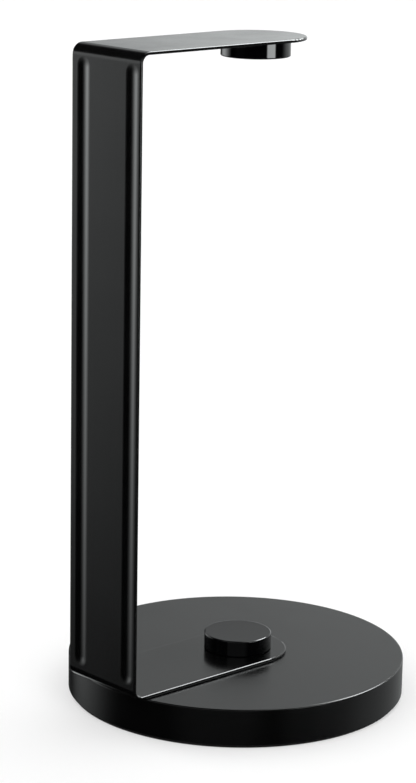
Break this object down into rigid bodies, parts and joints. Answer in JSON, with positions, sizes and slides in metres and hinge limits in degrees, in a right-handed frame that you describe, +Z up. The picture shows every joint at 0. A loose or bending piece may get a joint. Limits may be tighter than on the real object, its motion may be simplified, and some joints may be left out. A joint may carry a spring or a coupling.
{
  "type": "paper towel holder",
  "caption": "Counter-top paper towel holder: weighted round base, bent sheet steel C-bracket with pressed beads, and hubs above and below that turn with the roll.",
  "frame": {"origin": "centre of the round base, on the plane it rests on", "axes": "+Z up; +X from the upright towards the free ends of the leg and the arm; +Y across the width of the strip"},
  "size_m": [0.1585, 0.155, 0.302],
  "materials": {
    "black_paint": "semi-gloss black powder coat",
    "gloss_black": "high-gloss black enamel",
    "cast_ballast": "as-cast, oiled",
    "black_plastic": "moulded, fine texture",
    "pad_foam": "closed-cell foam, matt",
    "zinc_fastener": "bright zinc plate",
    "steel_stud": "copper-flash weld stud steel",
    "nylon": "natural acetal"
  },
  "bodies": {
    "stand": {"base_cover": "black_paint", "ballast": "cast_ballast", "base_plate": "black_plastic", "foot_pad": "pad_foam", "plate_screws": "zinc_fastener", "bracket": "black_paint", "leg_studs": "steel_stud", "leg_washers": "zinc_fastener", "leg_nuts": "zinc_fastener", "lower_hub_boss": "steel_stud", "lower_hub_glide": "nylon", "lower_hub_retainer": "zinc_fastener", "lower_hub_screw": "zinc_fastener", "upper_hub_boss": "steel_stud", "upper_hub_glide": "nylon", "upper_hub_retainer": "zinc_fastener", "upper_hub_screw": "zinc_fastener"},
    "lower_hub": {"lower_hub_core": "nylon", "lower_hub_shell": "gloss_black"},
    "upper_hub": {"upper_hub_core": "nylon", "upper_hub_shell": "gloss_black"}
  },
  "joints": [
    {"name": "lower_hub_spin", "type": "hinge", "parent": "stand", "child": "lower_hub", "pos_m": [0.001, 0, 0.0195], "axis": [0, 0, 1], "continuous": true},
    {"name": "upper_hub_spin", "type": "hinge", "parent": "stand", "child": "upper_hub", "pos_m": [0.0045, 0, 0.3005], "axis": [0, 0, 1], "continuous": true}
  ]
}
